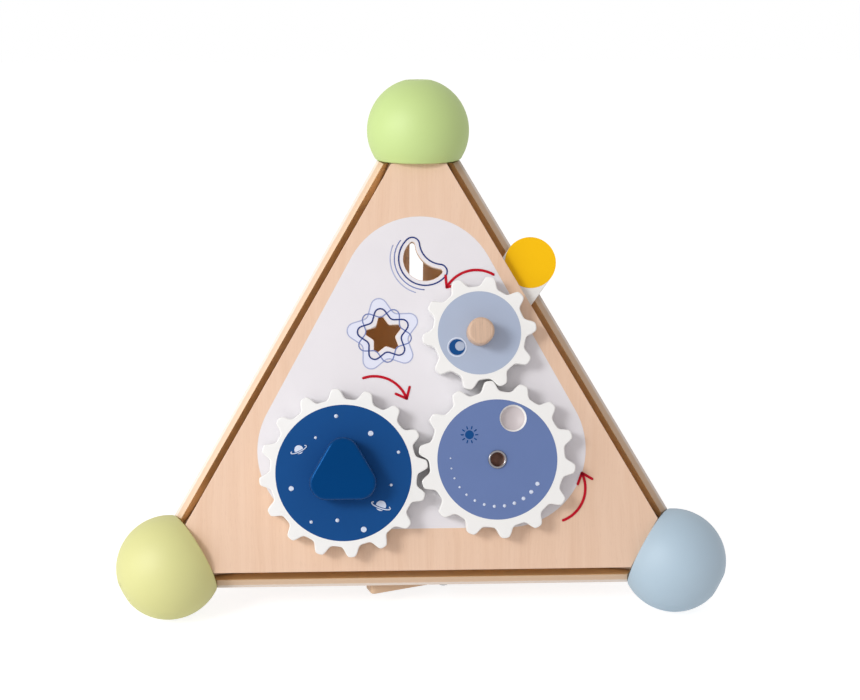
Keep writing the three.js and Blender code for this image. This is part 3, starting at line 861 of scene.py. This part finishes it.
def fine_turned(
    node, spin, material, sharp=TURNED_SHARP, edge=TURNED_EDGE, facets=TURNED_FACETS, step=TURNED_STEP
):
    """A finer copy of a turned node, round the spin's own axis."""
    profile, closed = meridian(node, spin)
    profile = refined(profile, closed, sharp, edge, step)
    mesh = Mesh()
    rings = []
    for point in profile:
        on_axis = point.x < AXIS_DISTANCE
        line = [Vector((0, 0))] if on_axis else circle((0, 0), point.x, facets)
        rings.append(mesh.ring(line, point.y))
    if closed:
        rings.append(rings[0])
    for lower, upper in zip(rings, rings[1:]):
        if len(lower) == 1:
            mesh.fan(upper, lower[0])
        elif len(upper) == 1:
            mesh.fan(lower, upper[0])
        else:
            mesh.bridge(lower, upper)
    return replace(node, mesh, spin, material)


def bored(piece, start, end, radius):
    """Cuts a round hole between two points."""
    line = end - start
    work = bmesh.new()
    turn = line.to_track_quat("Z", "Y").to_matrix().to_4x4()
    place = Matrix.Translation((start + end) / 2) @ turn
    size = radius * MM
    bmesh.ops.create_cone(
        work, cap_ends=True, segments=24, radius1=size, radius2=size, depth=line.length, matrix=place
    )
    drill_mesh = bpy.data.meshes.new("drill")
    work.to_mesh(drill_mesh)
    work.free()
    drill = bpy.data.objects.new("drill", drill_mesh)
    bpy.context.scene.collection.objects.link(drill)
    piece.modifiers.clear()
    cut = piece.modifiers.new("bore", "BOOLEAN")
    cut.object = drill
    cut.operation = "DIFFERENCE"
    bpy.context.view_layer.update()
    source = piece.evaluated_get(bpy.context.evaluated_depsgraph_get())
    piece.data = bpy.data.meshes.new_from_object(source)
    piece.modifiers.clear()
    piece.modifiers.new("even_shading", "WEIGHTED_NORMAL")
    bpy.data.objects.remove(drill)


# The faces and axes of the pyramid
UP = Vector((0, 0, 1))
gear_out = Vector(joints["big_gear_spin"]["axis"]).normalized()
third = Matrix.Rotation(math.radians(120), 3, "Z")


def panel_face(node, out, up=UP):
    """A panel's face: its middle is the middle of the outer outline, at the outer level."""
    face = Face(out, up)
    centre = average(rims(node, face)[0])
    return face.moved(face.place(centre.x, centre.y, levels(node, face)[1]))


gear_face = panel_face("gear_panel", gear_out)
right_face = panel_face("right_panel", third @ gear_out)
left_face = panel_face("left_panel", third @ third @ gear_out)
base_face = panel_face("base_panel", -UP, (0, 1, 0))


def spin_of(joint, face=gear_face):
    return face.moved(joints[joint]["pos_m"])


big_spin = spin_of("big_gear_spin")
middle_spin = spin_of("middle_gear_spin")
small_spin = spin_of("small_gear_spin")
button_spin = spin_of("button_turn", base_face)
big_centre = gear_face.read(big_spin.middle).xy
middle_centre = gear_face.read(middle_spin.middle).xy
small_centre = gear_face.read(small_spin.middle).xy
gear_level = levels("big_gear", gear_face)[1]

# Which way is up on a corner's face: any direction that isn't a corner's own axis
CORNER_UP = (0.1, 1, 0.3)


def middle_of(node):
    mesh = joined_mesh(node)
    return average([vertex.co for vertex in mesh.verts])


def corner_spin(corner):
    """A corner's own axis, from the middle of the ball's screw out through its plug."""
    plug = middle_of(corner + "_ball_plug")
    return Face(plug - middle_of(corner + "_ball_screw"), CORNER_UP, plug)


# Materials
def wood(name, rgb, dark, face, ply_painted_light=0):
    """Wood whose grain runs up the face; plywood, where a factor is given for its layers, which paints light
    on them above 1 and shade below 1.
    """
    shader = Shader(name, *WOOD_FINISH)
    place = shader.measures(face)
    sway = shader.math("MULTIPLY", shader.grain(place, *GRAIN_WAVES), GRAIN_SWAY)
    swayed = [shader.math("ADD", place[0], sway), place[1], place[2]]
    bands = shader.math("MULTIPLY", shader.grain(swayed, *GRAIN_BANDS), BAND_SHARE)
    lines = shader.math("MULTIPLY", shader.grain(swayed, *GRAIN_LINES), 1 - BAND_SHARE)
    grain = shader.math("ADD", bands, lines)
    light = linear(rgb)
    look = shader.ramp(grain, [(DARK_LEVEL, linear(dark)), (LIGHT_LEVEL, light)])
    look = shader.mix(STREAK_SHARE, light, look)
    clouds = shader.math("MULTIPLY", shader.grain(place, *GRAIN_CLOUDS), CLOUD_SHARE)
    look = shader.mix(clouds, look, linear(rgb, CLOUD_SHADE))
    flecks = shader.grain(swayed, *GRAIN_FLECKS)
    look = shader.specked(look, flecks, FLECK_STRENGTH, shade(dark, FLECK_SHADE))
    if ply_painted_light:
        look = layered(shader, place, face, look, ply_painted_light)
    shader.color(look)
    shader.bump(grain, *GRAIN_RELIEF)
    return shader.material


def layered(shader, place, face, look, tone):
    """The look with plywood's layers at its edges, which the tone paints lighter or darker as light and
    shade, and with a warmer wood inside: unfinished wood with painted warm shade.
    """
    fibres = shader.math("SUBTRACT", shader.grain(place, *PLY_FIBRES), 0.5)
    depth = shader.math("DIVIDE", place[2], -PANEL_THICKNESS)
    depth = shader.math("ADD", depth, shader.math("MULTIPLY", fibres, PLY_UNEVENNESS))
    # The tone paints light or shade on the ply layers
    outer, core, inner = (linear(ply, tone) for ply in (OUTER_PLY, CORE_PLY, INNER_PLY))
    layers = shader.ramp(depth, list(zip(PLY_STOPS, (outer, core, core, inner))))
    facing = shader.along(shader.normal, face.turn[2])
    edge = shader.math("LESS_THAN", shader.math("ABSOLUTE", facing), EDGE_FACING)
    look = shader.mix(edge, look, layers)
    # Inner faces take a warmer wood: partly unfinished wood, partly painted warm shade
    inside = shader.math("LESS_THAN", facing, -EDGE_FACING)
    return shader.mix(inside, look, linear(INNER_WOOD_AND_SHADE))


def end_grain(name, rgb, spin):
    """Turned wood: lengthwise grain on its sides, and fine straight rays over its end."""
    shader = Shader(name, *PEG_FINISH)
    place = shader.measures(spin)
    rays = shader.grain(place, *PEG_RAYS)
    look = shader.ramp(rays, [(level, linear(rgb, tone)) for level, tone in RAY_TONES])
    pores = shader.grain(place, *PEG_PORES)
    shader.color(shader.specked(look, pores, PORE_STRENGTH, shade(rgb, PORE_SHADE)))
    shader.bump(rays, *PEG_RELIEF)
    return shader.material


def paint(name, rgb, finish, mottle, **gloss):
    shader = Shader(name, *finish, **gloss)
    clouds = shader.grown(PAINT_CLOUDS, detail=3)
    shader.color(shader.mix(clouds, linear(rgb, 1 - mottle), linear(rgb, 1 + mottle)))
    shader.bump(shader.grown(PAINT_TEXTURE, detail=2), *PAINT_RELIEF)
    return shader.material


def paint_with_dimple_shade(spin):
    """White paint with painted shade in the middle gear's dimple: a darker white over its bowl."""
    shader = Shader("middle_gear_paint", *WHITE_FINISH)
    rim = max(rims("middle_gear", spin)[1:], key=length_of)
    place = shader.measures(spin.moved(spin.place(*average(rim))))
    radius = length_of(rim) / (2 * math.pi) - DIMPLE_SHADE_INSET
    top = levels("middle_gear", spin)[1] - DIMPLE_SHADE_DROP
    # 1 in the dimple's bowl, where the white takes painted shade
    inside = shader.within(place, radius, top)
    shader.color(shader.mix(inside, linear(WHITE_PAINT), linear(DIMPLE_PAINTED_SHADE)))
    shader.bump(shader.grown(PAINT_TEXTURE, detail=2), *PAINT_RELIEF)
    return shader.material


def zinc_steel():
    shader = Shader("zinc_steel", STEEL_ROUGHNESS, metallic=1.0)
    brushed = shader.grown(METAL_TEXTURE, detail=3)
    shader.color(shader.mix(brushed, linear(STEEL, METAL_SHADE), linear(STEEL)))
    shader.bump(brushed, *METAL_RELIEF)
    return shader.material


def rivet_steel(spin):
    """Steel whose bore is painted shade: dull brown, rough and not metal inside."""
    shader = Shader("rivet_steel", RIVET_ROUGHNESS, RIVET_SPECULAR, metallic=1.0)
    top = levels("middle_gear_rivet", spin)[1] - BORE_LIP
    # 1 inside the bore, where the steel gives way to painted shade
    inside = shader.within(shader.measures(spin), RIVET_BORE_RADIUS + BORE_MARGIN, top)
    shader.color(shader.mix(inside, linear(RIVET_STEEL), linear(RIVET_BORE_SHADE)))
    shader.principled_input("Metallic", shader.math("SUBTRACT", 1.0, inside))
    rougher = shader.math("MULTIPLY", inside, BORE_ROUGHNESS - RIVET_ROUGHNESS)
    shader.principled_input("Roughness", shader.math("ADD", RIVET_ROUGHNESS, rougher))
    return shader.material


def plain_nylon():
    shader = Shader("nylon", *NYLON_FINISH)
    clouds = shader.grown(NYLON_CLOUDS, detail=2)
    shader.color(shader.mix(clouds, linear(NYLON, NYLON_SHADE), linear(NYLON)))
    return shader.material


white = paint("white_paint", WHITE_PAINT, WHITE_FINISH, WHITE_MOTTLE)
navy = paint("navy_paint", NAVY, NAVY_FINISH, NAVY_MOTTLE, tint=NAVY_GLOSS)
steel = zinc_steel()
nylon = plain_nylon()

# Panels: the face of each, and a factor on its ply edges: painted light on the left panel's, which face the
# lamps, and painted shade on the right panel's
PANELS = {"gear_panel": (gear_face, 1.0), "left_panel": (left_face, 1.06), "right_panel": (right_face, 0.92)}
for name, (face, tone) in PANELS.items():
    fine_slab(name, face, wood(name + "_wood", MAPLE, MAPLE_DARK, face, tone), corner=PANEL_CORNER)
base_wood = wood("base_panel_wood", MAPLE, MAPLE_DARK, base_face, 1.0)
base = fine_slab("base_panel", base_face, base_wood, corner=PANEL_CORNER)
hatch = fine_slab("base_hatch", base_face, base_wood, corner=PANEL_CORNER)
for side in ("left", "right"):
    low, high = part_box("hatch_pin_" + side)
    centre = (low + high) / 2
    reach = Vector((high.x - low.x, 0, 0)) / 2 * PIN_REACH_SHARE
    for piece in (base, hatch):
        bored(piece, centre - reach, centre + reach, (high.z - low.z) / MM / 2 + PIN_CLEARANCE)

# Gears and what turns them
for gear, spin in (("big", big_spin), ("small", small_spin)):
    fine_slab(gear + "_gear", spin, white, GEAR_EDGE, sharp=TOOTH_SHARP)
    fine_turned(gear + "_gear_spacer", spin, nylon, edge=NYLON_EDGE)
    fine_turned(gear + "_rear_washer", spin, nylon, edge=NYLON_EDGE)
# White paint for the middle gear, with painted shade in its dimple
middle_white_with_dimple_shade = paint_with_dimple_shade(middle_spin)
fine_slab("middle_gear", middle_spin, middle_white_with_dimple_shade, GEAR_EDGE, sharp=TOOTH_SHARP, bowl=DIMPLE_DEPTH)
fine_turned("middle_gear_spacer", middle_spin, nylon, edge=NYLON_EDGE)
fine_turned("middle_gear_rivet", middle_spin, rivet_steel(middle_spin), sharp=RIVET_SHARP, edge=0)
knob_points = [corner.xy for corner in corners_of("triangle_knob", big_spin)]
knob_outline = refined([knob_points[i] for i in convex_hull_2d(knob_points)])
fine_slab("triangle_knob", big_spin, navy, top_edge=KNOB_EDGE, outline=knob_outline)
fine_slab("pointer_arm", small_spin, white, ARM_EDGE)
fine_turned("big_gear_axle", big_spin, end_grain("axle_wood", PEG_WOOD, big_spin))
fine_turned("small_gear_peg", small_spin, end_grain("peg_wood", PEG_WOOD, small_spin))

# Screws and washers
STEEL_PIECES = {"big_axle_screw": big_spin, "pointer_arm_screw": small_spin, "rivet_washer": middle_spin}
STEEL_PIECES |= {"turn_button_screw": button_spin, "turn_button_washer": button_spin}
for node, spin in STEEL_PIECES.items():
    fine_turned(node, spin, steel, edge=SCREW_EDGE)

# Turn button under the base, its grain along its length
low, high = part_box("turn_button")
pivot = button_spin.middle
far_end = Vector((low.x if pivot.x - low.x > high.x - pivot.x else high.x, low.y, pivot.z))
button_face = Face(-UP, far_end - pivot, pivot)
button_wood = wood("button_wood", BUTTON_WOOD, shade(BUTTON_WOOD, BUTTON_GRAIN_SHADE), button_face)
fine_slab("turn_button", button_face, button_wood, BUTTON_EDGE)

# Corner balls and what holds them
for corner, rgb in BALLS.items():
    spin = corner_spin(corner)
    ball_paint = paint(corner + "_ball_paint", rgb, BALL_FINISH, BALL_MOTTLE)
    fine_turned(corner + "_ball", spin, ball_paint, BALL_SHARP, BALL_EDGE, BALL_FACETS, BALL_STEP)
    fine_turned(corner + "_ball_plug", spin, ball_paint)
    fine_turned(corner + "_ball_screw", spin, steel, edge=SCREW_EDGE, facets=BALL_SCREW_FACETS)


def soften(node, material, width):
    """Keeps a hidden node's own mesh, with soft edges and its material."""
    made = nodes[node]
    made.data.materials.clear()
    made.data.materials.append(material)
    made.modifiers.new("join", "WELD").merge_threshold = JOIN_DISTANCE * MM
    flat = made.modifiers.new("flat", "DECIMATE")
    flat.decimate_type = "DISSOLVE"
    flat.angle_limit = math.radians(FLAT_BEND)
    soft = made.modifiers.new("soft", "BEVEL")
    soft.width = width * MM
    soft.segments = SOFT_EDGE_STEPS
    soft.limit_method = "ANGLE"
    soft.angle_limit = math.radians(PLATE_SHARP)
    soft.harden_normals = True
    made.data.shade_smooth()


block_wood = wood("block_wood", PEG_WOOD, shade(PEG_WOOD, BLOCK_GRAIN_SHADE), Face((0, -1, 0), UP))
for corner in BALLS:
    soften(corner + "_corner_block", block_wood, BLOCK_EDGE)
for side in ("left", "right"):
    soften("hatch_pin_" + side, steel, PIN_EDGE)


# Prints on the gear panel and on the gears
for ink, (rgb, mottle, _) in INKS.items():
    paint(ink, rgb, FIELD_FINISH if ink == "print_field" else INK_FINISH, mottle)


def print_on(name, islands, level, ink, body="frame"):
    """A layer of ink on the gear panel's face; each island is an outline, or an outline and its holes."""
    mesh = Mesh()
    for island in islands:
        loops = island if isinstance(island[0], list) else [island]
        mesh.cap(plate(mesh, loops, level, level + INK))
    mesh.faces = [(indices, True) for indices, _ in mesh.faces]
    return mesh.piece(name, gear_face, bpy.data.materials[ink], body, INKS[ink][2])


def print_on_gear(gear, name, islands, layer, ink):
    print_on(name, islands, gear_level + INK * layer, ink, gear + "_gear_set")


field_low = FIELD_BOTTOM + FIELD_CORNER_RADIUS
field_corners = [(0, FIELD_TOP - FIELD_CORNER_RADIUS)]
field_corners += [(-FIELD_CORNER_ASIDE, field_low), (FIELD_CORNER_ASIDE, field_low)]
windows = [refined(loop) for loop in rims("gear_panel", gear_face)[1:]]
star_window, moon_window = sorted(sorted(windows, key=length_of)[-2:], key=lambda loop: loop[0].y)
star_centre = average(star_window)
moon_low = Vector((min(point.x for point in moon_window), min(point.y for point in moon_window)))
moon_centre = moon_low + Vector((MOON_RADIUS, MOON_RADIUS))
field_holes = [inset(window, WINDOW_MARGIN) for window in windows]
field = [round_triangle(field_corners, FIELD_CORNER_RADIUS), *field_holes]
print_on("print_field", [field], 0, "print_field")


def line_round(outline, width=LINE_WIDTH):
    """A closed line of that width, as an outline and its hole."""
    return [inset(outline, -width / 2), inset(outline, width / 2)]


# Lines round the windows: each window's shape grown, a star turned between the tips, and ripples
halo = star_outline(star_centre, HALO_GROWTH)
star = star_outline(star_centre, STAR_GROWTH)
turned_star = star_outline(star_centre, TURNED_STAR_GROWTH, STAR_TURN + STAR_STEP)
print_on("star_halo", [[halo, star]], INK, "halo_blue")
print_on("star_outer_line", [line_round(halo, THIN_LINE)], 2 * INK, "pale_line")
print_on("star_turned_line", [line_round(turned_star, THIN_LINE)], 3 * INK, "middle_line")
print_on("star_line", [line_round(star)], 4 * INK, "line_blue")
print_on("moon_line", [line_round(moon_outline(moon_centre, MOON_GROWTH))], 4 * INK, "line_blue")
for name, (growth, spread, ink) in RIPPLES.items():
    ripple = arc(moon_centre, MOON_RADIUS + growth, RIPPLE_TURN - spread, RIPPLE_TURN + spread, steps=40)
    print_on(name, [ribbon(ripple, THIN_LINE)], INK, ink)
for name, (centre, start, end) in ARROWS.items():
    print_on(name, arrow(centre, ARROW_RADIUS, start, end), 5 * INK, "red_print")

# Discs on the gears, and the arm's round end
big_disc = circle(big_centre, BIG_DISC_RADIUS, DISC_STEPS)
print_on_gear("big", "big_disc", [big_disc], 0, "big_disc_blue")
middle_rims = [refined(loop, sharp=TOOTH_SHARP) for loop in rims("middle_gear", gear_face)]
dimple_rim = inset(max(middle_rims[1:], key=length_of), DIMPLE_MARGIN)
rivet_hole = circle(middle_centre, RIVET_PRINT_RADIUS)
middle_disc = circle(middle_centre, MIDDLE_DISC_RADIUS, DISC_STEPS)
print_on_gear("middle", "middle_disc", [[middle_disc, dimple_rim, rivet_hole]], 0, "middle_disc_blue")
small_disc = circle(small_centre, SMALL_DISC_RADIUS, DISC_STEPS)
peg_hole = circle(small_centre, PEG_HOLE_RADIUS)
print_on_gear("small", "small_disc", [[small_disc, peg_hole]], 0, "small_disc_blue")
arm_end = circle(polar(small_centre, *ARM_END), YELLOW_RADIUS, steps=96)
print_on("yellow_disc", [arm_end], levels("pointer_arm", gear_face)[1], "yellow_paint", "small_gear_set")

# Dots and two ringed planets on the big disc
dots = []
for angle, reach, radius in DOTS:
    dots.append(circle(polar(big_centre, BIG_DISC_RADIUS * reach, angle), radius, steps=24))
print_on_gear("big", "big_disc_dots", dots, 1, "dot_white")
planets = []
gaps = []
rings = []
for angle, reach, radius, turn in PLANETS:
    centre = polar(big_centre, BIG_DISC_RADIUS * reach, angle)
    size = (radius * RING_LENGTH, radius * RING_BREADTH)
    planets.append(circle(centre, radius, steps=32))
    gaps.append(ribbon(ellipse(centre, size, turn, *GAP_ENDS, steps=24), radius * GAP_WIDTH))
    rings.append(ribbon(ellipse(centre, size, turn, *RING_ENDS, steps=32), radius * RING_WIDTH))
print_on_gear("big", "planets", planets, 1, "dot_white")
print_on_gear("big", "planet_gaps", gaps, 2, "big_disc_blue")
print_on_gear("big", "planet_rings", rings, 3, "dot_white")

# An arc of growing dots and a small sun on the middle disc
trail = []
for i in range(TRAIL_DOTS):
    share = i / (TRAIL_DOTS - 1)
    place = polar(middle_centre, TRAIL_REACH, TRAIL_START + TRAIL_TURN * share)
    trail.append(circle(place, TRAIL_RADIUS + TRAIL_GROWTH * share, steps=20))
print_on_gear("middle", "middle_disc_dots", trail, 1, "dot_white")
sun_centre = polar(middle_centre, *SUN_PLACE)
sun = [circle(sun_centre, SUN_RADIUS, steps=32)]
for i in range(SUN_RAYS):
    ray = [polar(sun_centre, reach, 360 / SUN_RAYS * i) for reach in SUN_RAY]
    sun.append(ribbon(ray, SUN_RAY_WIDTH))
print_on_gear("middle", "middle_disc_sun", sun, 1, "big_disc_blue")

# A moon in a white ring on the small disc
moon_place = polar(small_centre, *SMALL_MOON_PLACE)
white_ring = [circle(moon_place, radius) for radius in WHITE_RING_RADII]
print_on_gear("small", "small_disc_ring", [white_ring], 1, "dot_white")
print_on_gear("small", "small_disc_moon", [circle(moon_place, SMALL_MOON_RADIUS)], 1, "big_disc_blue")
moon_shade = circle(polar(moon_place, *MOON_SHADE_PLACE), MOON_SHADE_RADIUS)
print_on_gear("small", "small_disc_moon_shade", [moon_shade], 2, "small_disc_blue")


# Light, floor and camera
def lamp(name, azimuth, elevation, level, size):
    """A round soft lamp; a surface at the gear panel's middle and square to it is lit to that level."""
    across, up = math.radians(azimuth), math.radians(elevation)
    away = Vector((math.sin(across) * math.cos(up), -math.cos(across) * math.cos(up), math.sin(up)))
    light = bpy.data.lights.new(name, "AREA")
    light.shape = "DISK"
    light.size = size
    light.energy = level * (math.pi * LAMP_DISTANCE) ** 2
    made = bpy.data.objects.new(name, light)
    bpy.context.scene.collection.objects.link(made)
    made.location = gear_face.middle + away * LAMP_DISTANCE
    made.rotation_euler = (-away).to_track_quat("-Z", "Y").to_euler()


def show(tree, seen, otherwise, out):
    """Ends the tree in one look where the camera, a mirror or a glass sees it, and in another for light."""
    path = add_node(tree, "ShaderNodeLightPath")
    direct = path.outputs["Is Camera Ray"]
    for ray in ("Is Glossy Ray", "Is Transmission Ray"):
        either = add_node(tree, "ShaderNodeMath", {0: direct, 1: path.outputs[ray]}, operation="MAXIMUM")
        direct = either.outputs[0]
    mix = add_node(tree, "ShaderNodeMixShader", {0: direct, 1: otherwise.outputs[0], 2: seen.outputs[0]})
    add_node(tree, out, {"Surface": mix.outputs[0]})


def grey(level):
    return (level, level, level, 1)


def empty_tree(owner):
    owner.use_nodes = True
    owner.node_tree.nodes.clear()
    return owner.node_tree


def studio():
    """A plain white backdrop that lights the object more weakly than it looks, and a white floor."""
    world = bpy.data.worlds.new("studio")
    bpy.context.scene.world = world
    tree = empty_tree(world)
    sky = add_node(tree, "ShaderNodeBackground", {"Color": (*SKY_TINT, 1), "Strength": SKY_LEVEL})
    backdrop = add_node(tree, "ShaderNodeBackground", {"Color": grey(1)})
    show(tree, backdrop, sky, "ShaderNodeOutputWorld")

    material = bpy.data.materials.new("floor_white")
    tree = empty_tree(material)
    matt = add_node(tree, "ShaderNodeBsdfDiffuse", {"Color": grey(FLOOR_SHADE)})
    lift = add_node(tree, "ShaderNodeEmission", {"Strength": FLOOR_LIFT})
    bright = add_node(tree, "ShaderNodeAddShader", {0: matt.outputs[0], 1: lift.outputs[0]})
    plain = add_node(tree, "ShaderNodeBsdfDiffuse", {"Color": grey(FLOOR_BOUNCE)})
    show(tree, bright, plain, "ShaderNodeOutputMaterial")
    mesh = bpy.data.meshes.new("floor")
    corners = [(x * FLOOR_REACH, y * FLOOR_REACH, 0) for x, y in ((-1, -1), (1, -1), (1, 1), (-1, 1))]
    mesh.from_pydata(corners, [], [(0, 1, 2, 3)])
    mesh.materials.append(material)
    floor = bpy.data.objects.new("floor", mesh)
    bpy.context.scene.collection.objects.link(floor)
    floor.location.z = -FLOOR_DROP * MM


studio()
for name, values in LAMPS.items():
    lamp(name, *values)

camera_data = bpy.data.cameras.new("camera")
camera_data.sensor_width = CAMERA_SENSOR
camera_data.lens = CAMERA_LENS
camera_data.shift_x, camera_data.shift_y = CAMERA_SHIFT
camera = bpy.data.objects.new("camera", camera_data)
bpy.context.scene.collection.objects.link(camera)
tilt, swing, roll = (math.radians(angle) for angle in CAMERA_TURN)
look = Matrix.Rotation(roll, 3, "Z") @ Matrix.Rotation(tilt, 3, "X") @ Matrix.Rotation(swing, 3, "Y")
look = (look @ gear_face.turn).transposed()
camera.matrix_world = Matrix.Translation(gear_face.place(*CAMERA_PLACE)) @ look.to_4x4()
bpy.context.scene.camera = camera
bpy.context.scene.view_settings.view_transform = "Standard"
